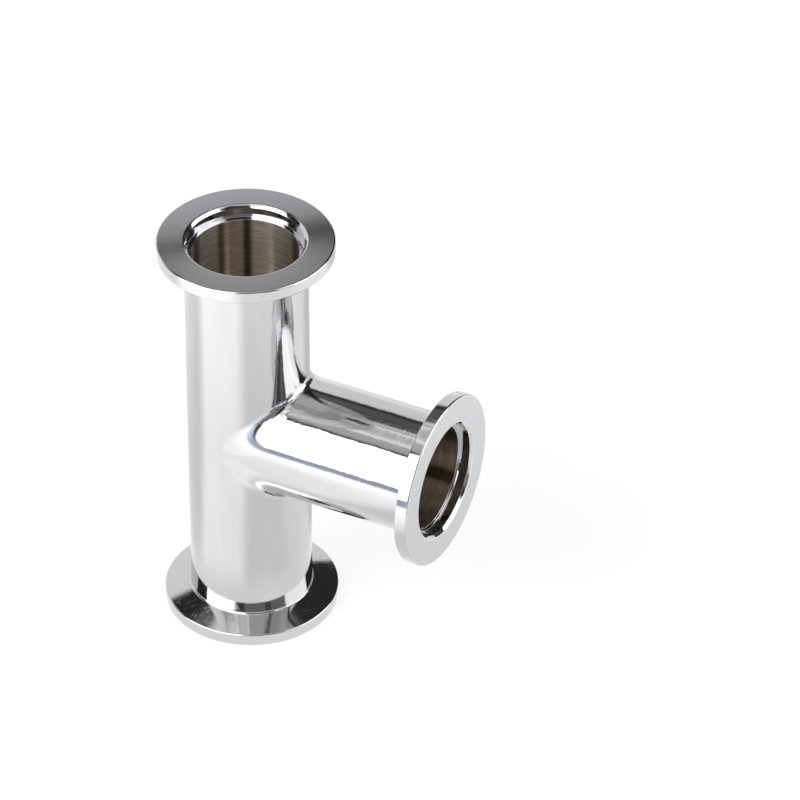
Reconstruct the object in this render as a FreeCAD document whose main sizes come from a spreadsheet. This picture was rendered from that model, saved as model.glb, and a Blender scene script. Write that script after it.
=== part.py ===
import FreeCAD, Part
import math
import os
import Sketcher
from FreeCAD import Placement, Rotation, Vector

# Equal tee for small-flange vacuum pipework, welded from stainless tube and turned flanges.
# Frame: origin at the centre of the lower sealing face, +Z up the run, branch along +X.

SIZES = [
    ("flange_radius", 20.0, "outside of the flange rim"),
    ("rim_height", 3.0, "straight rim between sealing face and clamp cone"),
    ("cone_angle", 15.0, "slope of the clamp cone, degrees"),
    ("tube_radius", 14.0, "outside of both tubes"),
    ("tube_wall", 2.0, "wall of both tubes"),
    ("seat_radius", 13.1, "counterbore that takes the centring ring"),
    ("seat_depth", 3.0, "depth of the counterbore"),
    ("mouth_chamfer", 0.7, "bevel at the mouth of the counterbore"),
    ("rim_break", 0.35, "bevel between the rim and the clamp cone"),
    ("root_bevel", 0.45, "turned corner between clamp cone and stub, across and up"),
    ("stub_length", 13.0, "sealing face to butt weld, measured along the pipe"),
    ("run_length", 100.0, "lower sealing face to upper sealing face"),
    ("branch_height", 50.0, "branch axis above the lower sealing face"),
    ("branch_reach", 50.0, "run axis to the branch sealing face"),
    ("weld_throat", 0.75, "seam to the ground face of the weld at the two crotches"),
    ("cut_margin", 2.0, "how far a cutting sketch runs past the metal"),
]

FULL_TURN = 360.0
HALF_TURN = 180.0
QUARTER_TURN = 90.0
EIGHTH_TURN = 45.0
MATCH = 0.001


def make_sheet(doc):
    sheet = doc.addObject("Spreadsheet::Sheet", "Sizes")
    for row, (name, value, note) in enumerate(SIZES, start=1):
        sheet.set("A%d" % row, name)
        sheet.set("B%d" % row, str(value))
        sheet.set("C%d" % row, note)
        sheet.setAlias("B%d" % row, name)
    doc.recompute()
    return sheet


def new_body(doc, label):
    body = doc.addObject("PartDesign::Body", label)
    body.Label = label
    return body


def origin_plane(body, role):
    return next(f for f in body.Origin.OriginFeatures if f.Role == role)


def new_sketch(body, plane_role, name, tilt=0.0):
    """A sketch on an origin plane of the body, tilted about its own first axis."""
    sketch = body.newObject("Sketcher::SketchObject", name)
    sketch.AttachmentSupport = [(origin_plane(body, plane_role), "")]
    sketch.MapMode = "FlatFace"
    sketch.AttachmentOffset = Placement(Vector(), Rotation(Vector(1, 0, 0), tilt))
    return sketch


def bind(sketch, constraint, name, expression):
    index = sketch.addConstraint(constraint)
    sketch.renameConstraint(index, name)
    sketch.setExpression("Constraints." + name, expression)


def bind_point(sketch, kind, line, point, name, start, expression):
    """The distance of a line's end from the sketch's origin, bound to the sheet."""
    bind(sketch, Sketcher.Constraint(kind, -1, 1, line, point, start), name, expression)


def add_flange_outline(sketch, sheet):
    """Half section of the flange: radius to the right, height above the sealing face upwards."""
    tube = sheet.tube_radius
    inner = tube - sheet.tube_wall
    slope = math.radians(sheet.cone_angle)
    cone_reach = sheet.flange_radius - tube - sheet.root_bevel
    cone_top = sheet.rim_height + cone_reach * math.tan(slope)
    stub_inside = Vector(inner, sheet.stub_length, 0)
    stub_outside = Vector(tube, sheet.stub_length, 0)
    stub_foot = Vector(tube, cone_top + sheet.root_bevel, 0)
    cone_head = Vector(tube + sheet.root_bevel, cone_top, 0)
    rim_back = Vector(sheet.flange_radius, sheet.rim_height, 0)
    rim_front = Vector(sheet.flange_radius, 0, 0)
    seat_mouth = Vector(sheet.seat_radius, 0, 0)
    seat_floor = Vector(sheet.seat_radius, sheet.seat_depth, 0)
    ledge = Vector(inner, sheet.seat_depth, 0)
    corners = [stub_inside, stub_outside, stub_foot, cone_head, rim_back, rim_front, seat_mouth,
               seat_floor, ledge]
    outline = []
    for start, end in zip(corners, corners[1:] + corners[:1]):
        outline.append(sketch.addGeometry(Part.LineSegment(start, end), False))
    for first, second in zip(outline, outline[1:] + outline[:1]):
        sketch.addConstraint(Sketcher.Constraint("Coincident", first, 2, second, 1))
    stub_end, stub, corner, cone, rim, face, seat, step, bore = outline
    for line in (stub_end, face, step):
        sketch.addConstraint(Sketcher.Constraint("Horizontal", line))
    for line in (stub, rim, seat, bore):
        sketch.addConstraint(Sketcher.Constraint("Vertical", line))
    sketch.addConstraint(Sketcher.Constraint("PointOnObject", face, 1, -1))
    bind(sketch, Sketcher.Constraint("DistanceX", corner, 1, corner, 2, sheet.root_bevel),
         "corner_across", "Sizes.root_bevel")
    bind(sketch, Sketcher.Constraint("DistanceY", corner, 2, corner, 1, sheet.root_bevel),
         "corner_up", "Sizes.root_bevel")
    bind(sketch, Sketcher.Constraint("Angle", cone, -slope), "cone_slope",
         "-Sizes.cone_angle * 1 deg")
    bind_point(sketch, "DistanceX", bore, 1, "bore", inner, "Sizes.tube_radius - Sizes.tube_wall")
    bind_point(sketch, "DistanceX", stub, 1, "tube", tube, "Sizes.tube_radius")
    bind_point(sketch, "DistanceX", rim, 1, "flange", sheet.flange_radius, "Sizes.flange_radius")
    bind_point(sketch, "DistanceX", seat, 1, "seat", sheet.seat_radius, "Sizes.seat_radius")
    bind_point(sketch, "DistanceY", stub, 1, "stub", sheet.stub_length, "Sizes.stub_length")
    bind_point(sketch, "DistanceY", rim, 1, "rim", sheet.rim_height, "Sizes.rim_height")
    bind_point(sketch, "DistanceY", bore, 1, "seat_depth", sheet.seat_depth, "Sizes.seat_depth")


def add_circle(sketch, name, start_radius, radius, centre_height=None, start_height=0.0):
    """A circle on the sketch's vertical axis, or at its origin when it has no height."""
    centre = Vector(0, start_height, 0)
    index = sketch.addGeometry(Part.Circle(centre, Vector(0, 0, 1), start_radius), False)
    if centre_height is None:
        sketch.addConstraint(Sketcher.Constraint("Coincident", index, 3, -1, 1))
    else:
        sketch.addConstraint(Sketcher.Constraint("PointOnObject", index, 3, -2))
        height = Sketcher.Constraint("DistanceY", -1, 1, index, 3, start_height)
        bind(sketch, height, name + "_height", centre_height)
    bind(sketch, Sketcher.Constraint("Radius", index, start_radius), name + "_radius", radius)


def add_corner_square(sketch, start_side, side):
    """A square with one corner at the sketch's origin, in its first quarter."""
    corners = [Vector(), Vector(start_side, 0, 0), Vector(start_side, start_side, 0),
               Vector(0, start_side, 0)]
    lines = []
    for start, end in zip(corners, corners[1:] + corners[:1]):
        lines.append(sketch.addGeometry(Part.LineSegment(start, end), False))
    for first, second in zip(lines, lines[1:] + lines[:1]):
        sketch.addConstraint(Sketcher.Constraint("Coincident", first, 2, second, 1))
    bottom, right, top, left = lines
    for kind, line in (("Horizontal", bottom), ("Vertical", right), ("Horizontal", top),
                       ("Vertical", left)):
        sketch.addConstraint(Sketcher.Constraint(kind, line))
    sketch.addConstraint(Sketcher.Constraint("Coincident", bottom, 1, -1, 1))
    bind_point(sketch, "DistanceX", bottom, 2, "side_across", start_side, side)
    bind_point(sketch, "DistanceY", top, 2, "side_up", start_side, side)


def add_tall_ellipse(sketch, start_half_width, start_half_height, half_width, half_height):
    """An ellipse round the sketch's origin, its long axis upright."""
    crown = Vector(0, start_half_height, 0)
    flank = Vector(start_half_width, 0, 0)
    ellipse = sketch.addGeometry(Part.Ellipse(crown, flank, Vector()), False)
    sketch.exposeInternalGeometry(ellipse)
    long_axis = ellipse + 1
    short_axis = ellipse + 2
    sketch.addConstraint(Sketcher.Constraint("Coincident", ellipse, 3, -1, 1))
    sketch.addConstraint(Sketcher.Constraint("Vertical", long_axis))
    bind(sketch, Sketcher.Constraint("Distance", long_axis, 2 * start_half_height),
         "ellipse_height", "2 * (" + half_height + ")")
    bind(sketch, Sketcher.Constraint("Distance", short_axis, 2 * start_half_width),
         "ellipse_width", "2 * (" + half_width + ")")


def circle_edges(shape, radius, height):
    """Names of the full circles of that radius round Z at that height."""
    found = []
    for number, edge in enumerate(shape.Edges, start=1):
        curve = edge.Curve
        if not isinstance(curve, Part.Circle):
            continue
        if abs(curve.Radius - radius) < MATCH and abs(curve.Center.z - height) < MATCH:
            found.append("Edge%d" % number)
    return found


def bevel(body, name, edges, expression):
    """A Chamfer on the body's tip, its size bound to the sheet."""
    base = body.Tip
    if not edges:
        raise ValueError("no edges for " + name)
    feature = body.newObject("PartDesign::Chamfer", name)
    feature.Base = (base, edges)
    feature.setExpression("Size", expression)
    body.Document.recompute()


def cut_by(body, sketch, name, expression, midplane=False, reverse=False):
    """A Pocket from a sketch, checked to take material away."""
    before = body.Shape.Volume
    cut = body.newObject("PartDesign::Pocket", name)
    cut.Profile = sketch
    cut.setExpression("Length", expression)
    cut.Midplane = midplane
    cut.Reversed = reverse
    body.Document.recompute()
    if body.Shape.Volume >= before - MATCH:
        raise ValueError(name + " cuts nothing")


def pad(body, sketch, name, expression, midplane=False):
    feature = body.newObject("PartDesign::Pad", name)
    feature.Profile = sketch
    feature.setExpression("Length", expression)
    feature.Midplane = midplane
    body.Document.recompute()


def make_flange(doc, sheet, label):
    """Turned clamp flange with its weld stub, sealing face at its own z = 0, stub upwards."""
    body = new_body(doc, label)
    sketch = new_sketch(body, "XZ_Plane", label + "_profile")
    add_flange_outline(sketch, sheet)
    turned = body.newObject("PartDesign::Revolution", label + "_turning")
    turned.Profile = sketch
    turned.ReferenceAxis = (sketch, ["V_Axis"])
    turned.Angle = FULL_TURN
    doc.recompute()
    rim_back = circle_edges(body.Shape, sheet.flange_radius, sheet.rim_height)
    bevel(body, label + "_rim", rim_back, "Sizes.rim_break")
    mouth = circle_edges(body.Shape, sheet.seat_radius, 0.0)
    bevel(body, label + "_mouth", mouth, "Sizes.mouth_chamfer")
    return body


def make_lower_flange(doc, sheet):
    return make_flange(doc, sheet, "lower_flange")


def make_upper_flange(doc, sheet):
    body = make_flange(doc, sheet, "upper_flange")
    body.Placement = Placement(Vector(), Rotation(Vector(1, 0, 0), HALF_TURN))
    body.setExpression(".Placement.Base.z", "Sizes.run_length")
    return body


def make_branch_flange(doc, sheet):
    body = make_flange(doc, sheet, "branch_flange")
    body.Placement = Placement(Vector(), Rotation(Vector(0, 1, 0), -QUARTER_TURN))
    body.setExpression(".Placement.Base.x", "Sizes.branch_reach")
    body.setExpression(".Placement.Base.z", "Sizes.branch_height")
    return body


def make_run_tube(doc, sheet):
    """Straight tube between the two stubs, opened on +X to the branch's bore."""
    body = new_body(doc, "run_tube")
    bore = "Sizes.tube_radius - Sizes.tube_wall"
    inner = sheet.tube_radius - sheet.tube_wall
    section = new_sketch(body, "XY_Plane", "run_section")
    add_circle(section, "outside", sheet.tube_radius, "Sizes.tube_radius")
    add_circle(section, "bore", inner, bore)
    pad(body, section, "run_length_pad", "Sizes.run_length - 2 * Sizes.stub_length")
    opening = new_sketch(body, "YZ_Plane", "branch_opening")
    add_circle(opening, "opening", inner, bore, "Sizes.branch_height - Sizes.stub_length",
               sheet.branch_height - sheet.stub_length)
    cut_by(body, opening, "branch_opening_cut", "Sizes.tube_radius + Sizes.cut_margin",
           reverse=True)
    body.setExpression(".Placement.Base.z", "Sizes.stub_length")
    return body


def make_branch_tube(doc, sheet):
    """Side tube, its inner end cut to a saddle on the run tube's outside."""
    body = new_body(doc, "branch_tube")
    inner = sheet.tube_radius - sheet.tube_wall
    section = new_sketch(body, "YZ_Plane", "branch_section")
    add_circle(section, "outside", sheet.tube_radius, "Sizes.tube_radius")
    add_circle(section, "bore", inner, "Sizes.tube_radius - Sizes.tube_wall")
    pad(body, section, "branch_reach_pad", "Sizes.branch_reach - Sizes.stub_length")
    saddle = new_sketch(body, "XY_Plane", "saddle")
    add_circle(saddle, "saddle", sheet.tube_radius, "Sizes.tube_radius")
    cut_by(body, saddle, "saddle_cut", "2 * (Sizes.tube_radius + Sizes.cut_margin)",
           midplane=True)
    body.setExpression(".Placement.Base.z", "Sizes.branch_height")
    return body


def make_saddle_weld(doc, sheet):
    """Ground weld in the corner of the tubes: full at the two crotches, gone at the sides."""
    body = new_body(doc, "saddle_weld")
    tube = sheet.tube_radius
    throat = sheet.weld_throat
    block = new_sketch(body, "XZ_Plane", "upper_crotch")
    add_corner_square(block, tube + 2 * throat, "Sizes.tube_radius + 2 * Sizes.weld_throat")
    pad(body, block, "upper_crotch_pad", "2 * Sizes.tube_radius", midplane=True)
    through = "2 * (2 * Sizes.tube_radius + Sizes.cut_margin)"
    for axis, plane in (("run", "XY_Plane"), ("branch", "YZ_Plane")):
        outside = new_sketch(body, plane, axis + "_outside")
        add_circle(outside, axis, tube, "Sizes.tube_radius")
        cut_by(body, outside, axis + "_outside_cut", through, midplane=True)
    # The seam of two equal tubes lies in a plane at 45 degrees, as an ellipse that is the square
    # root of two as high as it is wide. The ground face is one throat further out at its crown.
    ground = new_sketch(body, "YZ_Plane", "ground_face", EIGHTH_TURN)
    add_tall_ellipse(ground, tube, math.sqrt(2) * tube + throat,
                     "Sizes.tube_radius", "sqrt(2) * Sizes.tube_radius + Sizes.weld_throat")
    add_circle(ground, "round_the_block", 2 * (tube + throat),
               "2 * (Sizes.tube_radius + Sizes.weld_throat)")
    cut_by(body, ground, "ground_face_cut", through, midplane=True)
    mirrored = body.newObject("PartDesign::Mirrored", "lower_crotch")
    mirrored.TransformMode = "Whole shape"
    mirrored.MirrorPlane = (origin_plane(body, "XY_Plane"), [""])
    body.Tip = mirrored
    doc.recompute()
    body.setExpression(".Placement.Base.z", "Sizes.branch_height")
    return body


def check_and_write(doc, pieces):
    doc.recompute()
    for item in doc.Objects:
        if "Invalid" in item.State or "Error" in item.State:
            raise ValueError(item.Name + " did not build")
    for piece in pieces:
        if piece.Shape.isNull() or not piece.Shape.isValid() or not piece.Shape.Solids:
            raise ValueError(piece.Label + " has no sound shape")
    os.makedirs("parts", exist_ok=True)
    for piece in pieces:
        piece.Shape.exportStep("parts/" + piece.Label + ".step")
        print(piece.Label, len(piece.Shape.Solids), "solid(s)", round(piece.Shape.Volume, 2), "mm3")


def main():
    doc = FreeCAD.newDocument("VacuumTee")
    sheet = make_sheet(doc)
    makers = [make_run_tube, make_branch_tube, make_upper_flange, make_lower_flange,
              make_branch_flange, make_saddle_weld]
    check_and_write(doc, [make(doc, sheet) for make in makers])


main()
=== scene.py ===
import math

import bpy
from mathutils import Matrix, Vector


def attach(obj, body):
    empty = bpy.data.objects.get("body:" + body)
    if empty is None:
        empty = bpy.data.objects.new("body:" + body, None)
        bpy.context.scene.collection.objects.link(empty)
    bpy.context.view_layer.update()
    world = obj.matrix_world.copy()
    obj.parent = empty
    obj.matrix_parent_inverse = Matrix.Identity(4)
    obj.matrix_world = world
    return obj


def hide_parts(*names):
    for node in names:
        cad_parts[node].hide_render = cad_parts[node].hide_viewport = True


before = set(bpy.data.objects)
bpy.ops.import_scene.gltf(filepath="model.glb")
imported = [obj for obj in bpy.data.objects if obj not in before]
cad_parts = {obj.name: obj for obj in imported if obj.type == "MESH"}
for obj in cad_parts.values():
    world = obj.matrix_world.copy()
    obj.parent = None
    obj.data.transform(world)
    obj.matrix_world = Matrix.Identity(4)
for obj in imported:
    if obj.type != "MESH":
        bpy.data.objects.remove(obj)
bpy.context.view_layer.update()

MM = 0.001

# Sizes of the tee, the same as the construction's own named lengths.
FLANGE_RADIUS = 20 * MM
RIM_HEIGHT = 3 * MM
CONE_ANGLE = math.radians(15)
TUBE_RADIUS = 14 * MM
BORE_RADIUS = 12 * MM
SEAT_RADIUS = 13.1 * MM
SEAT_DEPTH = 3 * MM
MOUTH_CHAMFER = 0.7 * MM
STUB_LENGTH = 13 * MM
RUN_LENGTH = 100 * MM
BRANCH_HEIGHT = 50 * MM
BRANCH_REACH = 50 * MM

# Edge rounds that the lathe and the buffing wheel leave.
ROOT_ROUND = 0.6 * MM
RIM_BACK_ROUND = 0.35 * MM
RIM_FRONT_ROUND = 0.4 * MM
MOUTH_ROUND = 0.5 * MM
FINE_ROUND = 0.1 * MM
SHARP = 0.0

# The weld's toes from the corner between the tubes: at the crotch, and how much more at the sides.
WELD_ON_RUN = (1.5 * MM, 2 * MM)
WELD_ON_BRANCH = (1.5 * MM, 8 * MM)
# How deep the weld's root lies in the run, how far short of the sides it ends and how it thins there, in
# radians, and the step over which its slope is taken.
WELD_SINK = 0.4 * MM
WELD_RUNOUT = 0.04
WELD_FADE = 0.15
WELD_SLOPE_STEP = 1e-3

# Mesh divisions.
AROUND_FLANGE = 192
AROUND_FRONT = 96
AROUND_BACK = 160
ALONG_TUBE = 24
SADDLE_STEPS = 8
WELD_STEPS = 120
WELD_ARC_STEPS = 10
ROUND_STEPS = 5
MICRON = 1e-6


def linear(hex_colour):
    """sRGB hex to a linear RGBA colour."""
    parts = [int(hex_colour[i:i + 2], 16) / 255 for i in (1, 3, 5)]
    return [p / 12.92 if p <= 0.04045 else ((p + 0.055) / 1.055) ** 2.4 for p in parts] + [1.0]


def add(tree, kind, inputs=None, **settings):
    """Adds a node with its settings, and sets or links its inputs."""
    node = tree.nodes.new(kind)
    for name, value in settings.items():
        setattr(node, name, value)
    for key, value in (inputs or {}).items():
        if isinstance(value, bpy.types.NodeSocket):
            tree.links.new(value, node.inputs[key])
        else:
            node.inputs[key].default_value = value
    return node


def calc(tree, operation, *values):
    """A number worked out from others."""
    return add(tree, "ShaderNodeMath", dict(enumerate(values)), operation=operation).outputs[0]


def vector(tree, operation, *values):
    """A vector worked out from others, or the number that a length or a dot product gives."""
    node = add(tree, "ShaderNodeVectorMath", dict(enumerate(values)), operation=operation)
    return node.outputs["Value" if operation in ("LENGTH", "DOT_PRODUCT") else "Vector"]


def ramp(tree, value, start, end, low=0.0, high=1.0, ease="LINEAR"):
    """Low up to the start and high past the end, with a steady rise between."""
    return add(tree, "ShaderNodeMapRange", {
        "Value": value, "From Min": start, "From Max": end, "To Min": low, "To Max": high,
    }, interpolation_type=ease).outputs[0]


def fade(tree, value, start, end, low=0.0, high=1.0):
    """A ramp that sets out and arrives softly."""
    return ramp(tree, value, start, end, low, high, "SMOOTHSTEP")


def blend(tree, share, start, end):
    """Leads from one number to another by a share."""
    return add(tree, "ShaderNodeMix", {0: share, 2: start, 3: end}, data_type="FLOAT").outputs[0]


def blend_colours(tree, share, start, end, **settings):
    """Leads from one colour to another by a share."""
    mix = add(tree, "ShaderNodeMix", {0: share, 6: start, 7: end}, data_type="RGBA", **settings)
    return mix.outputs[2]


# Camera, at the photograph's viewing angle.
CAMERA_AZIMUTH = math.radians(26.91)
CAMERA_ELEVATION = math.radians(37.175)
CAMERA_DISTANCE = 1308.24 * MM
CAMERA_TARGET = Vector((37.554, 1.58, 67.294)) * MM
SENSOR_MM = 36
LENS_MM = 264.49


def make_camera():
    """The camera, turned upright towards its target."""
    back = Vector((
        math.sin(CAMERA_AZIMUTH) * math.cos(CAMERA_ELEVATION),
        -math.cos(CAMERA_AZIMUTH) * math.cos(CAMERA_ELEVATION),
        math.sin(CAMERA_ELEVATION),
    ))
    right = Vector((math.cos(CAMERA_AZIMUTH), math.sin(CAMERA_AZIMUTH), 0))
    turn = Matrix((right, back.cross(right), back)).transposed().to_4x4()
    data = bpy.data.cameras.new("camera")
    data.lens = LENS_MM
    data.sensor_width = SENSOR_MM
    camera = bpy.data.objects.new("camera", data)
    camera.matrix_world = Matrix.Translation(CAMERA_TARGET + back * CAMERA_DISTANCE) @ turn
    bpy.context.scene.collection.objects.link(camera)
    bpy.context.scene.camera = camera


# The studio that the metal mirrors: panels by direction, in degrees. Azimuth 0 is -Y and 90 is +X.
# Each row: middle azimuth, half width, lowest and highest elevation, brightness, softness, slant.
WHITE = "#FFFFFF"
ROOM_LEVEL = 0.03
STUDIO_PANELS = (
    ("overhead bank on the right", 115, 45, 54, 91, 0.95, 3, 0),
    ("overhead bank, front right", 40, 28, 57, 91, 0.75, 3, 0),
    ("softbox on the right", 106, 36, -2, 44.5, 2.3, 2, 0),
    ("softbox on the right, bright part", 106, 34, 31, 42, 2.8, 2, 0),
    ("softbox on the right, its top", 98, 15, 40, 51, 2.8, 2, 0),
    ("grey wall on the right", 51, 37, -90, 32, 0.28, 3, -0.2),
    ("dark edge of the wall", 55.5, 5, -14, 18, 0.11, 2, 0),
    ("dark stand beside it", 78, 10, 14, 26, 0.05, 2, 0),
    ("gap under the right softbox", 156, 18, -14, 13, 0.08, 2, 0),
    ("softbox at the front left", -22, 36.5, -2, 62.8, 3.4, 1.5, 0.55),
    ("paper sweep, far part", -162, 12.4, -20, 28, 0.95, 1.5, 0.68),
    ("paper sweep, near part", -121, 33.8, -20, 42, 0.98, 1.5, 0.25),
    ("gap between the two", -144, 11, 35.5, 42, 0.04, 2, 0),
    ("lighter part of the gap", -146, 14, 41, 56, 0.13, 2.5, 0),
    ("overhead bank", -88, 52, 57, 91, 0.6, 2, 0),
    ("overhead bank, its lower strip", -90, 28, 56, 67.8, 1.2, 1.5, 0),
    ("overhead bank, front", -1, 15, 53, 91, 1.15, 3, 0),
    ("overhead bank, bright front", -40, 22, 66.5, 91, 1.6, 1.5, 0),
    ("overhead bank, bright part", -133, 9, 62, 75, 1.0, 3, 0),
    ("overhead bank, far part", -162, 17, 60, 91, 0.36, 3, 0),
    ("gap beside its lower strip", -129, 9, 53, 61.5, 0.06, 2, 0),
)


def azimuth(tree, x, y):
    """The angle round from -Y towards +X, in degrees."""
    return calc(tree, "DEGREES", calc(tree, "ARCTAN2", x, calc(tree, "MULTIPLY", y, -1)))


def turn_mask(tree, around, middle, half, soft):
    """The angle off a panel's middle, and how much of the panel lies there, from 0 to 1."""
    off = calc(tree, "WRAP", calc(tree, "SUBTRACT", around, middle), 180, -180)
    return off, fade(tree, calc(tree, "ABSOLUTE", off), half + soft, half - soft)


def panel_mask(tree, around, height, row):
    """How much of a studio panel lies in a direction, from 0 to 1."""
    middle, half, low, high, soft, slant = row
    off, mask = turn_mask(tree, around, middle, half, soft)
    level = calc(tree, "SUBTRACT", height, calc(tree, "MULTIPLY", off, slant))
    mask = calc(tree, "MULTIPLY", mask, fade(tree, level, low - soft, low + soft))
    return calc(tree, "MULTIPLY", mask, fade(tree, level, high + soft, high - soft))


def make_world():
    """The studio as metal mirrors it. The camera sees plain white instead."""
    world = bpy.data.worlds.new("studio")
    bpy.context.scene.world = world
    world.use_nodes = True
    tree = world.node_tree
    tree.nodes.clear()
    generated = add(tree, "ShaderNodeTexCoord").outputs["Generated"]
    way = add(tree, "ShaderNodeSeparateXYZ", {0: generated}).outputs
    around = azimuth(tree, way["X"], way["Y"])
    height = calc(tree, "DEGREES", calc(tree, "ARCSINE", way["Z"]))
    level = ROOM_LEVEL
    for _, middle, half, low, high, brightness, soft, slant in STUDIO_PANELS:
        mask = panel_mask(tree, around, height, (middle, half, low, high, soft, slant))
        level = blend(tree, mask, level, brightness)
    studio = add(tree, "ShaderNodeBackground", {"Color": linear(WHITE), "Strength": level})
    white = add(tree, "ShaderNodeBackground", {"Color": linear(WHITE), "Strength": 1.0})
    path = add(tree, "ShaderNodeLightPath")
    shown = add(tree, "ShaderNodeMixShader", {
        0: path.outputs["Is Camera Ray"], 1: studio.outputs[0], 2: white.outputs[0],
    })
    add(tree, "ShaderNodeOutputWorld", {"Surface": shown.outputs[0]})


# White paper under the tee. Metal sees painted light and shade on it, where the lamps would leave them:
# bright in front, dim at the sides.
FLOOR_RADIUS = 6.0
FLOOR_DROP = 0.02 * MM
FLOOR_SIDES = 96
PAPER_LEVEL = 0.94
# Painted pools of light and shade, each row: middle azimuth, half width, softness, brightness.
PAPER_PAINTED_PATCHES = (
    ("in front of the key light", -22, 39, 12, 1.36),
    ("under the right softbox", 118, 30, 18, 1.06),
    ("shade behind", 175, 20, 14, 0.66),
    ("under the sweep", -141, 11, 12, 1.1),
)
# The lit foot of the tee: where it starts to fade, where it ends, and its brightness.
PAPER_FOOT = (24 * MM, 38 * MM, 1.08)
# Where the paper starts to rise in brightness, where it stops, and by how much.
PAPER_RISE = (55 * MM, 195 * MM, 1.27)
# A dark strip on the right: azimuth, half width and softness, then where it starts and its brightness.
PAPER_STRIP = (58, 9, 3)
PAPER_STRIP_EDGE = (172 * MM, 200 * MM, 0.2)
# Far in front it turns blue-grey: where, how bright, and where its bright part lies.
PAPER_BLUE = (280 * MM, 380 * MM)
PAPER_BLUE_LEVEL = (1.6, 3.3)
PAPER_BLUE_BRIGHT = (3, 12, 7)
PAPER_BLUE_TINT = "#969EAE"
# The share of plain white in the paper that the camera sees. The rest takes the tee's shadow.
PAPER_GLOW = 0.86
PAPER_WHITE = "#F4F4F4"


def paper_painted_light(tree):
    """Painted light and shade on the paper, as metal mirrors it, by the place on the floor."""
    place = add(tree, "ShaderNodeTexCoord").outputs["Object"]
    spot = add(tree, "ShaderNodeSeparateXYZ", {0: place}).outputs
    around = azimuth(tree, spot["X"], spot["Y"])
    away = vector(tree, "LENGTH", place)
    level = PAPER_LEVEL
    for _, middle, half, soft, brightness in PAPER_PAINTED_PATCHES:
        level = blend(tree, turn_mask(tree, around, middle, half, soft)[1], level, brightness)
    start, end, brightness = PAPER_FOOT
    level = blend(tree, fade(tree, away, end, start), level, brightness)
    start, end, rise = PAPER_RISE
    level = calc(tree, "MULTIPLY", level, fade(tree, away, start, end, 1.0, rise))
    start, end, brightness = PAPER_STRIP_EDGE
    strip = turn_mask(tree, around, *PAPER_STRIP)[1]
    strip = calc(tree, "MULTIPLY", strip, fade(tree, away, start, end))
    level = blend(tree, strip, level, brightness)
    blue = fade(tree, calc(tree, "MULTIPLY", spot["Y"], -1), *PAPER_BLUE)
    bright = turn_mask(tree, around, *PAPER_BLUE_BRIGHT)[1]
    level = blend(tree, blue, level, blend(tree, bright, *PAPER_BLUE_LEVEL))
    tint = blend_colours(tree, blue, linear(WHITE), linear(PAPER_BLUE_TINT))
    return add(tree, "ShaderNodeEmission", {"Color": tint, "Strength": level})


def make_floor():
    """A disc of paper. The camera sees it white, with the tee's soft shadow."""
    mesh = bpy.data.meshes.new("paper_floor")
    corners = []
    for k in range(FLOOR_SIDES):
        turn = math.tau * k / FLOOR_SIDES
        corners.append((FLOOR_RADIUS * math.cos(turn), FLOOR_RADIUS * math.sin(turn), -FLOOR_DROP))
    mesh.from_pydata(corners, [], [list(range(FLOOR_SIDES))])
    floor = bpy.data.objects.new("paper_floor", mesh)
    bpy.context.scene.collection.objects.link(floor)
    paper = bpy.data.materials.new("matt white background paper")
    paper.use_nodes = True
    paper.cycles.emission_sampling = "NONE"
    tree = paper.node_tree
    tree.nodes.clear()
    diffuse = add(tree, "ShaderNodeBsdfDiffuse", {"Color": linear(PAPER_WHITE)})
    glow = add(tree, "ShaderNodeEmission", {"Color": linear(WHITE), "Strength": 1.0})
    seen = add(tree, "ShaderNodeMixShader", {0: PAPER_GLOW, 1: diffuse.outputs[0], 2: glow.outputs[0]})
    path = add(tree, "ShaderNodeLightPath")
    by_camera = add(tree, "ShaderNodeMixShader", {
        0: path.outputs["Is Camera Ray"], 1: diffuse.outputs[0], 2: seen.outputs[0],
    })
    # Glossy rays see the paper's painted light and shade.
    by_metal = add(tree, "ShaderNodeMixShader", {
        0: path.outputs["Is Glossy Ray"], 1: by_camera.outputs[0], 2: paper_painted_light(tree).outputs[0],
    })
    add(tree, "ShaderNodeOutputMaterial", {"Surface": by_metal.outputs[0]})
    mesh.materials.append(paper)


# The lamp that lights the paper and casts the tee's shadow.
LAMP_SIDE = 0.8
LAMP_POWER = 16
LAMP_PLACE = Vector((-0.5, -0.9, 1.0))


def make_lamp():
    """A softbox turned towards the tee. Metal mirrors the studio's panels instead."""
    data = bpy.data.lights.new("softbox_for_paper", "AREA")
    data.shape = "RECTANGLE"
    data.size = LAMP_SIDE
    data.size_y = LAMP_SIDE
    data.energy = LAMP_POWER
    lamp = bpy.data.objects.new("softbox_for_paper", data)
    lamp.location = LAMP_PLACE
    lamp.rotation_euler = LAMP_PLACE.to_track_quat("Z", "Y").to_euler()
    lamp.visible_glossy = False
    bpy.context.scene.collection.objects.link(lamp)


# The marks that each finish leaves: width, depth and how many finer widths lie in them. A pixel of the
# picture covers 0.22 mm, so a lathe's real feed of 0.1 mm would not show: its rings are drawn 0.2 to
# 0.25 mm apart instead.
FACING_RINGS = (0.25 * MM, 0.0004 * MM, 3.0)
TURNING_RINGS = (0.2 * MM, 0.0005 * MM, 3.0)
LATHE_WANDER = (2 * MM, 0.0025 * MM, 2.0)
BORE_ARCS = (0.5 * MM, 0.006 * MM, 3.0)
BUFF_GRAIN = (0.5 * MM, 0.015 * MM, 2.5)
BUFF_SWELL = (3.5 * MM, 0.026 * MM, 1.0)
WELD_RIDGES = (0.9 * MM, 0.2 * MM, 2.0)
# Marks without depth: width, and how many finer widths lie in them.
HAIR_SCRATCHES = (0.4 * MM, 0.0)
BORE_SHADES = (0.5 * MM, 2.0)
BUFF_WEAR = (4 * MM, 1.0)
BUFF_CLOUDS = (5 * MM, 2.0)
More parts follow.
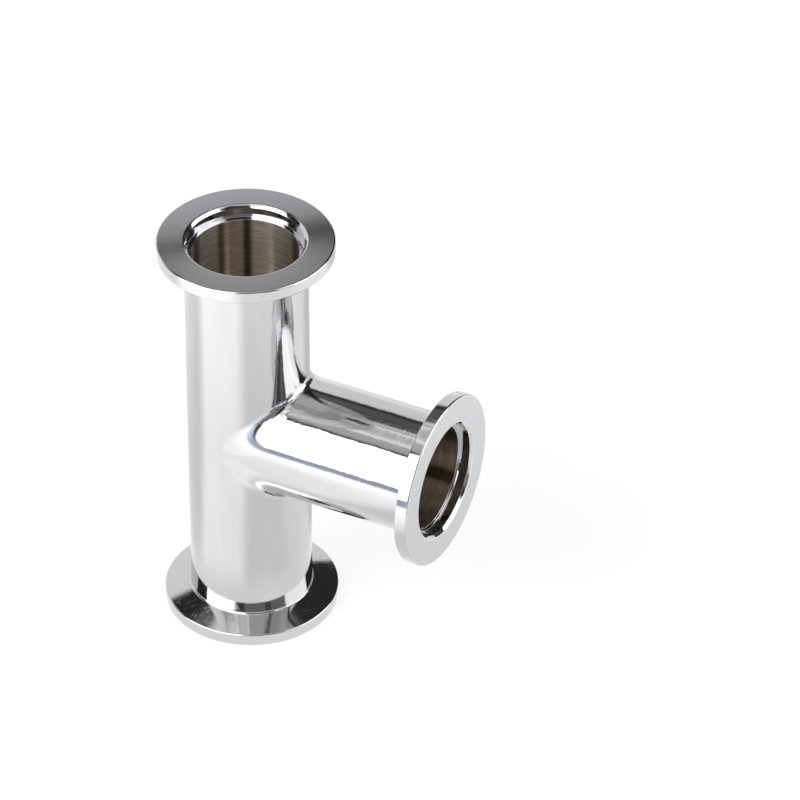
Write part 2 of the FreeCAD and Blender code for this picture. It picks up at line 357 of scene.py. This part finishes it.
# How a pattern lies: the scratches' length and turn, the arcs' drift round the bore, the bead's length and
# width, and on a tube the squeeze across it and what is added to that along it.
EVEN = (1, 1, 1)
HAIR_LENGTH = 15 * MM
HAIR_TURN = math.radians(-57)
BORE_DRIFT = 1.6e-5
WELD_LENGTH = 18 * MM
WELD_WIDTH = 3 * MM
BUFF_GRAIN_LAY = (0.45, 0.9)
BUFF_CLOUD_LAY = (1, -0.85)
# What part of a pattern's range counts, and what it is turned into.
HAIR_RANGE = (0.62, 0.85)
BORE_RANGE = (0.38, 0.62)
BORE_SHADE = (0.82, 1.08)
WEAR_RANGE = (0.38, 0.62)
WEAR_LEAST = 0.15
CLOUD_RANGE = (0.35, 0.65)
WELD_WORN_RANGE = (0.36, 0.1)
WELD_WORN_LEAST = 0.1

# Roughness and anisotropy of each finish.
FACED = (0.113, 1.0)
FINE_TURNED = (0.08, 0.6)
SCRATCHED = 0.25
BUFFED = (0.07, 0.3)
GROUND = (0.12, 0.0)
RUN_SATIN = (0.34, 0.6)
BRANCH_SATIN = (0.27, 0.6)

# Colour of the steel, in each place. The sealing faces and the run's bore hold painted light and shade as
# well.
STEEL = "#CACACC"
STEEL_CLOUD = "#C4C3C3"
# The sealing faces are one faced steel, painted lighter on the run and darker on the branch: painted light
# and shade.
RUN_FACE_PAINTED_LIT = "#D3D2D7"
BRANCH_FACE_PAINTED_SHADE = "#BEBFC2"
# The run's bore is painted lighter than the branch's, as painted light, and both are warm grey.
RUN_BORE_PAINTED_LIGHT = "#E6E1DA"
BRANCH_BORE = "#DBD0C3"
# Painted reflections along each bore, as light and dark streaks: angle round it, half width, softness,
# colour.
RUN_PAINTED_REFLECTIONS = (
    (48, 10, 5, "#8A8476"), (90, 3, 3, "#FFF8F0"), (131, 8, 4, "#CDBCA8"), (117, 5, 4, "#5A5746"),
    (163, 18, 4, "#F2F0EA"), (139, 2.5, 2.5, "#F8ECDE"), (146, 4, 3.5, "#8A877B"), (187, 8, 6, "#918C82"),
)
BRANCH_PAINTED_REFLECTIONS = (
    (-64, 22, 12, "#CDC6BA"), (-36, 7, 3, "#77715F"), (-16, 5, 4, "#F0E5D6"), (18, 12, 6, "#98928A"),
)

# Each pipe of the tee: its name, the way it runs and a point on its axis.
RUN = ("run", (0, 0, 1), (0, 0, 0))
BRANCH = ("branch", (1, 0, 0), (0, 0, BRANCH_HEIGHT))


def surface(name, colour, roughness, anisotropy):
    """A metal with its own principled shader. Returns the material, its tree and the shader."""
    material = bpy.data.materials.new(name)
    material.use_nodes = True
    tree = material.node_tree
    tree.nodes.clear()
    shader = add(tree, "ShaderNodeBsdfPrincipled", {
        "Base Color": linear(colour), "Metallic": 1.0, "Roughness": roughness, "Anisotropic": anisotropy,
    })
    add(tree, "ShaderNodeOutputMaterial", {"Surface": shader.outputs[0]})
    return material, tree, shader


def noise(tree, place, squeeze, size, detail):
    """Noise as wide in metres as the size, squeezed along each axis."""
    held = vector(tree, "MULTIPLY", place, squeeze)
    return add(tree, "ShaderNodeTexNoise", {
        "Vector": held, "Scale": 1 / size, "Detail": detail,
    }).outputs[0]


def waves(tree, place, squeeze, size, height, detail, normal=None):
    """A bump of noise, as high in metres as the height."""
    grain = noise(tree, place, squeeze, size, detail)
    bump = add(tree, "ShaderNodeBump", {"Height": grain, "Distance": height, "Strength": 1.0})
    if normal is not None:
        tree.links.new(normal, bump.inputs["Normal"])
    return bump.outputs[0]


def lathe_place(tree, pipe):
    """Where a point is on a turned part: the way round, the radius, and the distance along the axis."""
    _, axis, centre = pipe
    place = add(tree, "ShaderNodeTexCoord").outputs["Object"]
    spoke = vector(tree, "SUBTRACT", place, centre)
    round_way = vector(tree, "CROSS_PRODUCT", axis, spoke)
    return place, round_way, vector(tree, "LENGTH", round_way), vector(tree, "DOT_PRODUCT", spoke, axis)


def turned(finish_name, pipe, colour, finish, ring_marks):
    """Stainless steel cut on a lathe, whose rings spread light across themselves."""
    material, tree, shader = surface(finish_name + ", " + pipe[0], colour, *finish)
    place, round_way, radius, along = lathe_place(tree, pipe)
    normal = add(tree, "ShaderNodeNewGeometry").outputs["Normal"]
    across = vector(tree, "NORMALIZE", vector(tree, "CROSS_PRODUCT", normal, round_way))
    tree.links.new(across, shader.inputs["Tangent"])
    ring = add(tree, "ShaderNodeCombineXYZ", {0: radius, 1: along}).outputs[0]
    marks = waves(tree, place, EVEN, *LATHE_WANDER, waves(tree, ring, EVEN, *ring_marks))
    tree.links.new(marks, shader.inputs["Normal"])
    return material, tree, shader


def faced(pipe, colour):
    """Stainless steel faced across on a lathe. It gives the eye a grey ring with dark and light wedges."""
    return turned("faced stainless steel", pipe, colour, FACED, FACING_RINGS)[0]


def fine_turned(pipe):
    """Stainless steel turned fine, on the rim, the clamp cone and the seat. It gives the eye crisp bands,
    with soft lines round them and straight hair scratches from handling: pale where it mirrors the dark."""
    material, tree, shader = turned("fine turned stainless steel", pipe, STEEL, FINE_TURNED, TURNING_RINGS)
    place = add(tree, "ShaderNodeTexCoord").outputs["Object"]
    laid = add(tree, "ShaderNodeVectorRotate", {
        "Vector": place, "Angle": HAIR_TURN,
    }, rotation_type="Z_AXIS").outputs[0]
    hairs = noise(tree, laid, (HAIR_SCRATCHES[0] / HAIR_LENGTH, 1, 1), *HAIR_SCRATCHES)
    rough = ramp(tree, hairs, *HAIR_RANGE, FINE_TURNED[0], SCRATCHED)
    tree.links.new(rough, shader.inputs["Roughness"])
    return material


def bore(pipe, colour, finish, painted_reflections):
    """Stainless bore left as drawn and honed: satin, darker and warmer than the outside because it mirrors
    itself, with painted reflections as light and dark streaks along the pipe and fine arcs round it."""
    material, tree, shader = turned("satin drawn stainless steel", pipe, colour, finish, BORE_ARCS)
    _, round_way, radius, along = lathe_place(tree, pipe)
    way = add(tree, "ShaderNodeSeparateXYZ", {0: round_way}).outputs
    first, second = ("Y", "X") if pipe == RUN else ("Z", "Y")
    back = calc(tree, "MULTIPLY", way[second], -1)
    around = calc(tree, "DEGREES", calc(tree, "ARCTAN2", back, way[first]))
    tone = linear(colour)
    # Light and dark streaks of painted reflection, mixed into the base colour.
    for middle, half, soft, painted_colour in painted_reflections:
        mask = turn_mask(tree, around, middle, half, soft)[1]
        tone = blend_colours(tree, mask, tone, linear(painted_colour))
    ring = add(tree, "ShaderNodeCombineXYZ", {0: radius, 1: along, 2: around}).outputs[0]
    arcs = noise(tree, ring, (1, 1, BORE_DRIFT), *BORE_SHADES)
    shade = ramp(tree, arcs, *BORE_RANGE, *BORE_SHADE)
    tone = blend_colours(tree, 1.0, tone, shade, blend_type="MULTIPLY")
    tree.links.new(tone, shader.inputs["Base Color"])
    return material


def buffed(pipe):
    """Stainless tube buffed with a fine wheel. It gives the eye nearly a mirror, whose edges the wheel's
    grain frays, with slow swells and faint clouds drawn out along the tube."""
    part, axis, _ = pipe
    material, tree, shader = surface("buffed stainless steel, " + part, STEEL, *BUFFED)
    way = add(tree, "ShaderNodeCombineXYZ", dict(enumerate(axis))).outputs[0]
    tree.links.new(way, shader.inputs["Tangent"])
    place = add(tree, "ShaderNodeTexCoord").outputs["Object"]
    grain_lay, cloud_lay = (
        tuple(across + extra * c for c in axis) for across, extra in (BUFF_GRAIN_LAY, BUFF_CLOUD_LAY)
    )
    grain = waves(tree, place, grain_lay, *BUFF_GRAIN)
    worn = ramp(tree, noise(tree, place, EVEN, *BUFF_WEAR), *WEAR_RANGE, WEAR_LEAST, 1.0)
    tree.links.new(worn, grain.node.inputs["Strength"])
    swell = waves(tree, place, EVEN, *BUFF_SWELL, grain)
    tree.links.new(swell, shader.inputs["Normal"])
    clouds = ramp(tree, noise(tree, place, cloud_lay, *BUFF_CLOUDS), *CLOUD_RANGE)
    tone = blend_colours(tree, clouds, linear(STEEL), linear(STEEL_CLOUD))
    tree.links.new(tone, shader.inputs["Base Color"])
    return material


def ground_weld():
    """Weld bead ground back and buffed by hand. Small ridges along it break its reflections into short
    black and white strokes, strongest at the crotch where a wheel hardly reaches."""
    material, tree, shader = surface("ground and buffed stainless weld", STEEL, *GROUND)
    share = add(tree, "ShaderNodeUVMap", uv_map="rows").outputs[0]
    ridges = waves(tree, share, (WELD_LENGTH, WELD_WIDTH, 1), *WELD_RIDGES)
    end = add(tree, "ShaderNodeSeparateXYZ", {0: share}).outputs["X"]
    from_middle = calc(tree, "ABSOLUTE", calc(tree, "SUBTRACT", end, 0.5))
    worn = ramp(tree, from_middle, *WELD_WORN_RANGE, WELD_WORN_LEAST, 1.0)
    tree.links.new(worn, ridges.node.inputs["Strength"])
    tree.links.new(ridges, shader.inputs["Normal"])
    return material


def new_piece(name, mesh, body_slot, *nodes):
    """Puts a finished mesh in the scene, in the place of its solid."""
    piece = bpy.data.objects.new(name, mesh)
    bpy.context.scene.collection.objects.link(piece)
    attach(piece, "root")
    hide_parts(*nodes)


# What the flange's tree takes in: its sizes and its finishes.
FLANGE_SIZES = (
    ("Flange Radius", FLANGE_RADIUS), ("Rim Height", RIM_HEIGHT), ("Cone Angle", CONE_ANGLE),
    ("Tube Radius", TUBE_RADIUS), ("Bore Radius", BORE_RADIUS), ("Seat Radius", SEAT_RADIUS),
    ("Seat Depth", SEAT_DEPTH), ("Mouth Chamfer", MOUTH_CHAMFER), ("Stub Length", STUB_LENGTH),
)
FLANGE_FINISHES = ("Sealing Face", "Turned", "Buffed", "Bore")
# Edges that turn more than this stay hard, a face this near a wall is on it, and the normals follow the
# large faces as far as they can, in percent. A comparison takes its margin in as input 12.
HARD_EDGE = math.radians(25)
WALL_MARGIN = 0.05 * MM
MARGIN_INPUT = 12
LARGE_FACES = 100


def compare(tree, value, operation, other):
    """Whether a number stands to another as the operation says. Equal means within the wall margin."""
    return add(tree, "FunctionNodeCompare", {
        0: value, 1: other, MARGIN_INPUT: WALL_MARGIN,
    }, data_type="FLOAT", operation=operation).outputs[0]


def flange_outline(tree, size, foot):
    """The flange's half section as a closed curve, with the inner wall of the bore at 0."""
    mouth = calc(tree, "ADD", size["Seat Radius"], size["Mouth Chamfer"])
    # Each corner: out from the axis, up from the sealing face, and its round.
    corners = (
        (size["Bore Radius"], size["Stub Length"], SHARP),
        (size["Tube Radius"], size["Stub Length"], SHARP),
        (size["Tube Radius"], foot, ROOT_ROUND),
        (size["Flange Radius"], size["Rim Height"], RIM_BACK_ROUND),
        (size["Flange Radius"], 0.0, RIM_FRONT_ROUND),
        (mouth, 0.0, MOUTH_ROUND),
        (size["Seat Radius"], size["Mouth Chamfer"], FINE_ROUND),
        (size["Seat Radius"], size["Seat Depth"], FINE_ROUND),
        (size["Bore Radius"], size["Seat Depth"], FINE_ROUND),
    )
    line = add(tree, "GeometryNodeMeshLine", {"Count": len(corners), "Offset": (0, 0, MM)})
    index = add(tree, "GeometryNodeInputIndex").outputs[0]
    pick = add(tree, "GeometryNodeIndexSwitch", {"Index": index}, data_type="VECTOR")
    blunt = add(tree, "GeometryNodeIndexSwitch", {"Index": index}, data_type="FLOAT")
    for _ in range(len(corners) - 2):
        pick.index_switch_items.new()
        blunt.index_switch_items.new()
    for k, (out, up, rounding) in enumerate(corners):
        off_bore = calc(tree, "SUBTRACT", out, size["Bore Radius"])
        corner = add(tree, "ShaderNodeCombineXYZ", {"X": off_bore, "Y": up})
        tree.links.new(corner.outputs[0], pick.inputs[k + 1])
        blunt.inputs[k + 1].default_value = rounding
    outline = add(tree, "GeometryNodeSetPosition", {
        "Geometry": line.outputs[0], "Position": pick.outputs[0],
    })
    outline = add(tree, "GeometryNodeMeshToCurve", {0: outline.outputs[0]})
    outline = add(tree, "GeometryNodeSetSplineCyclic", {"Geometry": outline.outputs[0], "Cyclic": True})
    return add(tree, "GeometryNodeFilletCurve", {
        "Curve": outline.outputs[0], "Radius": blunt.outputs[0], "Limit Radius": True, "Count": ROUND_STEPS,
    }, mode="POLY")


def flange_tree():
    """Turns a clamp flange from its half section. Its stub rises from the sealing face at height 0."""
    tree = bpy.data.node_groups.new("turned_flange", "GeometryNodeTree")
    for name, value in FLANGE_SIZES:
        socket = tree.interface.new_socket(name, in_out="INPUT", socket_type="NodeSocketFloat")
        socket.default_value = value
    for name in FLANGE_FINISHES:
        tree.interface.new_socket(name, in_out="INPUT", socket_type="NodeSocketMaterial")
    tree.interface.new_socket("Geometry", in_out="OUTPUT", socket_type="NodeSocketGeometry")
    size = add(tree, "NodeGroupInput").outputs
    land = calc(tree, "SUBTRACT", size["Flange Radius"], size["Tube Radius"])
    foot = calc(tree, "MULTIPLY_ADD", land, calc(tree, "TANGENT", size["Cone Angle"]), size["Rim Height"])
    outline = flange_outline(tree, size, foot)
    circle = add(tree, "GeometryNodeCurvePrimitiveCircle", {
        "Resolution": AROUND_FLANGE, "Radius": size["Bore Radius"],
    })
    solid = add(tree, "GeometryNodeCurveToMesh", {
        "Curve": circle.outputs[0], "Profile Curve": outline.outputs[0],
    })
    solid = add(tree, "GeometryNodeTransform", {"Geometry": solid.outputs[0], "Scale": (1, 1, -1)})
    solid = add(tree, "GeometryNodeMergeByDistance", {"Geometry": solid.outputs[0], "Distance": MICRON})
    turn = add(tree, "GeometryNodeInputMeshEdgeAngle").outputs["Unsigned Angle"]
    solid = add(tree, "GeometryNodeSetShadeSmooth", {
        "Geometry": solid.outputs[0], "Shade Smooth": compare(tree, turn, "LESS_EQUAL", HARD_EDGE),
    }, domain="EDGE")
    place = add(tree, "GeometryNodeInputPosition").outputs[0]
    height = add(tree, "ShaderNodeSeparateXYZ", {0: place}).outputs["Z"]
    radius = vector(tree, "LENGTH", vector(tree, "MULTIPLY", place, (1, 1, 0)))
    outside = compare(tree, radius, "EQUAL", size["Tube Radius"])
    above = compare(tree, height, "GREATER_THAN", foot)
    stub = add(tree, "FunctionNodeBooleanMath", {0: outside, 1: above}, operation="AND").outputs[0]
    finish_places = (
        ("Bore", compare(tree, radius, "EQUAL", size["Bore Radius"])),
        ("Buffed", stub),
        ("Sealing Face", compare(tree, height, "LESS_THAN", MICRON)),
    )
    solid = add(tree, "GeometryNodeRealizeInstances", {"Geometry": solid.outputs[0]})
    solid = add(tree, "GeometryNodeSetMaterial", {"Geometry": solid.outputs[0], "Material": size["Turned"]})
    for finish, where in finish_places:
        solid = add(tree, "GeometryNodeSetMaterial", {
            "Geometry": solid.outputs[0], "Selection": where, "Material": size[finish],
        })
    add(tree, "NodeGroupOutput", {"Geometry": solid.outputs[0]})
    return tree


def grow(tree, name, values):
    """Runs a geometry tree on an empty mesh and returns what it makes as a plain mesh."""
    holder = bpy.data.objects.new(name, bpy.data.meshes.new(name))
    bpy.context.scene.collection.objects.link(holder)
    growth = holder.modifiers.new("grow", "NODES")
    growth.node_group = tree
    sockets = {s.name: s.identifier for s in tree.interface.items_tree if s.in_out == "INPUT"}
    for key, value in values.items():
        growth[sockets[key]] = value
    even = holder.modifiers.new("even", "WEIGHTED_NORMAL")
    even.keep_sharp = True
    even.weight = LARGE_FACES
    view = bpy.context.evaluated_depsgraph_get()
    mesh = bpy.data.meshes.new_from_object(holder.evaluated_get(view), depsgraph=view)
    mesh.name = name
    bpy.data.objects.remove(holder)
    return mesh


class Shell:
    """Gathers grids of points into one closed mesh with the surface's own exact normals."""

    def __init__(self):
        self.index = {}
        self.points = []
        self.faces = []
        self.normals = []
        self.looks = []
        self.marks = []

    def vertex(self, point):
        key = tuple(round(c / MICRON) for c in point)
        if key not in self.index:
            self.index[key] = len(self.points)
            self.points.append(point)
        return self.index[key]

    def grid(self, rows, look, flip=False):
        """rows: lists of (point, normal) of one length. Their shares of the grid are its UV map."""
        for r in range(len(rows) - 1):
            for k in range(len(rows[0]) - 1):
                ring = [(r, k), (r, k + 1), (r + 1, k + 1), (r + 1, k)]
                if flip:
                    ring.reverse()
                self.face([rows[i][j] for i, j in ring], look, [
                    (i / (len(rows) - 1), j / (len(rows[0]) - 1)) for i, j in ring
                ])

    def face(self, ring, look, marks):
        spots = [self.vertex(p) for p, _ in ring]
        kept = [k for k in range(len(spots)) if spots[k] != spots[k - 1]]
        if len(kept) < 3:
            return
        self.faces.append([spots[k] for k in kept])
        self.normals.extend(ring[k][1] for k in kept)
        self.marks.extend(marks[k] for k in kept)
        self.looks.append(look)

    def cap(self, ring, look, flip=False):
        """One flat face over a ring of (point, normal)."""
        self.face(ring[::-1] if flip else ring, look, [(0.0, 0.0)] * len(ring))

    def mesh(self, name, materials):
        mesh = bpy.data.meshes.new(name)
        mesh.from_pydata(self.points, [], self.faces)
        for material in materials:
            mesh.materials.append(material)
        mesh.polygons.foreach_set("material_index", self.looks)
        mesh.polygons.foreach_set("use_smooth", [True] * len(self.faces))
        mesh.normals_split_custom_set(self.normals)
        layer = mesh.uv_layers.new(name="rows")
        layer.data.foreach_set("uv", [share for mark in self.marks for share in mark])
        return mesh


def spread(low, high, count):
    """Evenly spaced numbers from low to high, ends included."""
    return [low + (high - low) * k / count for k in range(count + 1)]


def run_tube_mesh(name, materials):
    """The straight tube, with the round side opening of the branch's bore."""
    # Each column of the wall: its angle outside and inside, and how far off the branch's axis it starts.
    columns = []
    shrink = BORE_RADIUS / TUBE_RADIUS
    widest = math.asin(shrink)
    for psi in spread(-math.pi / 2, math.pi / 2, AROUND_FRONT):
        columns.append((math.asin(shrink * math.sin(psi)), psi, BORE_RADIUS * math.cos(psi)))
    for outer, inner in zip(
        spread(widest, math.tau - widest, AROUND_BACK), spread(math.pi / 2, 3 * math.pi / 2, AROUND_BACK)
    ):
        columns.append((outer, inner, 0.0))
    shell = Shell()
    for side in (1, -1):
        end = BRANCH_HEIGHT + side * (RUN_LENGTH / 2 - STUB_LENGTH)
        walls = []
        for radius, pick, sign in ((TUBE_RADIUS, 0, 1), (BORE_RADIUS, 1, -1)):
            rows = []
            for share in spread(0.0, 1.0, ALONG_TUBE):
                row = []
                for column in columns:
                    angle = column[pick]
                    start = BRANCH_HEIGHT + side * column[2]
                    out = Vector((math.cos(angle), math.sin(angle), 0))
                    point = out * radius + Vector((0, 0, start + (end - start) * share))
                    row.append((point, out * sign))
                rows.append(row)
            walls.append(rows)
            shell.grid(rows, pick, flip=side * sign < 0)
        flat = Vector((0, 0, side))
        ends = [[(p, flat) for p, _ in rows[-1]] for rows in walls]
        shell.grid(ends, 1, flip=side < 0)
        wall = []
        for rows in walls:
            rim = [p for p, _ in rows[0][:AROUND_FRONT + 1]]
            wall.append([(p, Vector((0, -p.y, BRANCH_HEIGHT - p.z)).normalized()) for p in rim])
        shell.grid(wall, 1, flip=side > 0)
    return shell.mesh(name, materials)


def branch_tube_mesh(name, materials):
    """The branch, with its inner end cut to a saddle that sits on the run."""
    end = BRANCH_REACH - STUB_LENGTH
    turns = spread(0.0, math.tau, 2 * AROUND_FRONT)

    def ring(radius, share):
        row = []
        for psi in turns:
            start = math.sqrt(max(TUBE_RADIUS ** 2 - (radius * math.sin(psi)) ** 2, 0.0))
            out = Vector((0, -math.sin(psi), math.cos(psi)))
            row.append((out * radius + Vector((start + (end - start) * share, 0, BRANCH_HEIGHT)), out))
        return row

    shell = Shell()
    for radius, sign, look in ((TUBE_RADIUS, 1, 0), (BORE_RADIUS, -1, 1)):
        rows = [
            [(point, out * sign) for point, out in ring(radius, share)]
            for share in spread(0.0, 1.0, ALONG_TUBE)
        ]
        shell.grid(rows, look, flip=sign < 0)
    flat = Vector((1, 0, 0))
    shell.grid([[(p, flat) for p, _ in ring(r, 1.0)] for r in (TUBE_RADIUS, BORE_RADIUS)], 1)
    saddle = [
        [(p, Vector((-p.x, -p.y, 0)).normalized()) for p, _ in ring(radius, 0.0)]
        for radius in spread(TUBE_RADIUS, BORE_RADIUS, SADDLE_STEPS)
    ]
    shell.grid(saddle, 1, flip=True)
    return shell.mesh(name, materials)


def weld_point(turn, share, side):
    """A point of the ground weld: a parabola from its toe on the run to its toe on the branch."""
    s, c = math.sin(turn), math.cos(turn)
    fade = s / math.hypot(s, WELD_FADE)
    corner = Vector((TUBE_RADIUS * s, -TUBE_RADIUS * c, BRANCH_HEIGHT + side * TUBE_RADIUS * s))
    on_run = (WELD_ON_RUN[0] + WELD_ON_RUN[1] * c ** 2) * fade
    on_branch = (WELD_ON_BRANCH[0] + WELD_ON_BRANCH[1] * abs(c) ** 3) * fade
    return corner + Vector((share ** 2 * on_branch, 0, side * (1 - share) ** 2 * on_run))


def weld_mesh(name, material):
    """The two crotch beads, ground to a hollow that runs out at the sides."""
    step = WELD_SLOPE_STEP
    deep = TUBE_RADIUS - WELD_SINK
    shell = Shell()
    for side in (1, -1):
        rows = []
        for turn in spread(WELD_RUNOUT, math.pi - WELD_RUNOUT, WELD_STEPS):
            s, c = math.sin(turn), math.cos(turn)
            root = Vector((deep * s, -deep * c, BRANCH_HEIGHT + side * deep * s))
            row = []
            for share in spread(0.0, 1.0, WELD_ARC_STEPS):
                across = weld_point(turn, share + step, side) - weld_point(turn, share - step, side)
                along = weld_point(turn + step, share, side) - weld_point(turn - step, share, side)
                row.append((weld_point(turn, share, side), across.cross(along).normalized() * side))
            toes = row[0][0], row[-1][0]
            under_run = (toes[0] - root).cross(along).normalized() * side
            under_branch = (root - toes[1]).cross(along).normalized() * side
            rows.append([(root, under_run), (toes[0], under_run)] + row
                        + [(toes[1], under_branch), (root, under_branch)])
        shell.grid(rows, 0, flip=side < 0)
        for ring, way in ((rows[0], -1), (rows[-1], 1)):
            facing = (rows[-1][0][0] - rows[0][0][0]).normalized() * way
            shell.cap([(p, facing) for p, _ in ring[:-1]], 0, flip=side * way < 0)
    return shell.mesh(name, [material])


def fill_tee():
    """Makes the finishes of both pipes, and then every piece of the tee."""
    finishes = {}
    # The sealing faces' colours and the run's bore colour carry painted light and shade.
    for pipe, face_painted_tone, bore_colour, satin, painted_reflections in (
        (RUN, RUN_FACE_PAINTED_LIT, RUN_BORE_PAINTED_LIGHT, RUN_SATIN, RUN_PAINTED_REFLECTIONS),
        (BRANCH, BRANCH_FACE_PAINTED_SHADE, BRANCH_BORE, BRANCH_SATIN, BRANCH_PAINTED_REFLECTIONS),
    ):
        finishes[pipe] = {
            "Sealing Face": faced(pipe, face_painted_tone),
            "Turned": fine_turned(pipe),
            "Buffed": buffed(pipe),
            "Bore": bore(pipe, bore_colour, satin, painted_reflections),
        }
    tree = flange_tree()
    over = Matrix.Translation((0, 0, RUN_LENGTH)) @ Matrix.Rotation(math.pi, 4, "X")
    aside = Matrix.Translation((BRANCH_REACH, 0, BRANCH_HEIGHT)) @ Matrix.Rotation(-math.pi / 2, 4, "Y")
    for name, node, pipe, place in (
        ("lower_clamp_flange", "lower_flange", RUN, Matrix.Identity(4)),
        ("upper_clamp_flange", "upper_flange", RUN, over),
        ("branch_clamp_flange", "branch_flange", BRANCH, aside),
    ):
        mesh = grow(tree, name, finishes[pipe])
        mesh.transform(place)
        new_piece(name, mesh, "turned_flange", node)
    for name, node, pipe, make in (
        ("run_tube_body", "run_tube", RUN, run_tube_mesh),
        ("branch_tube_body", "branch_tube", BRANCH, branch_tube_mesh),
    ):
        mesh = make(name, [finishes[pipe]["Buffed"], finishes[pipe]["Bore"]])
        new_piece(name, mesh, "polished_tube", node)
    new_piece("crotch_weld", weld_mesh("crotch_weld", ground_weld()), "ground_weld", "saddle_weld")


bpy.context.scene.view_settings.view_transform = "Standard"
make_camera()
make_world()
make_floor()
make_lamp()
fill_tee()
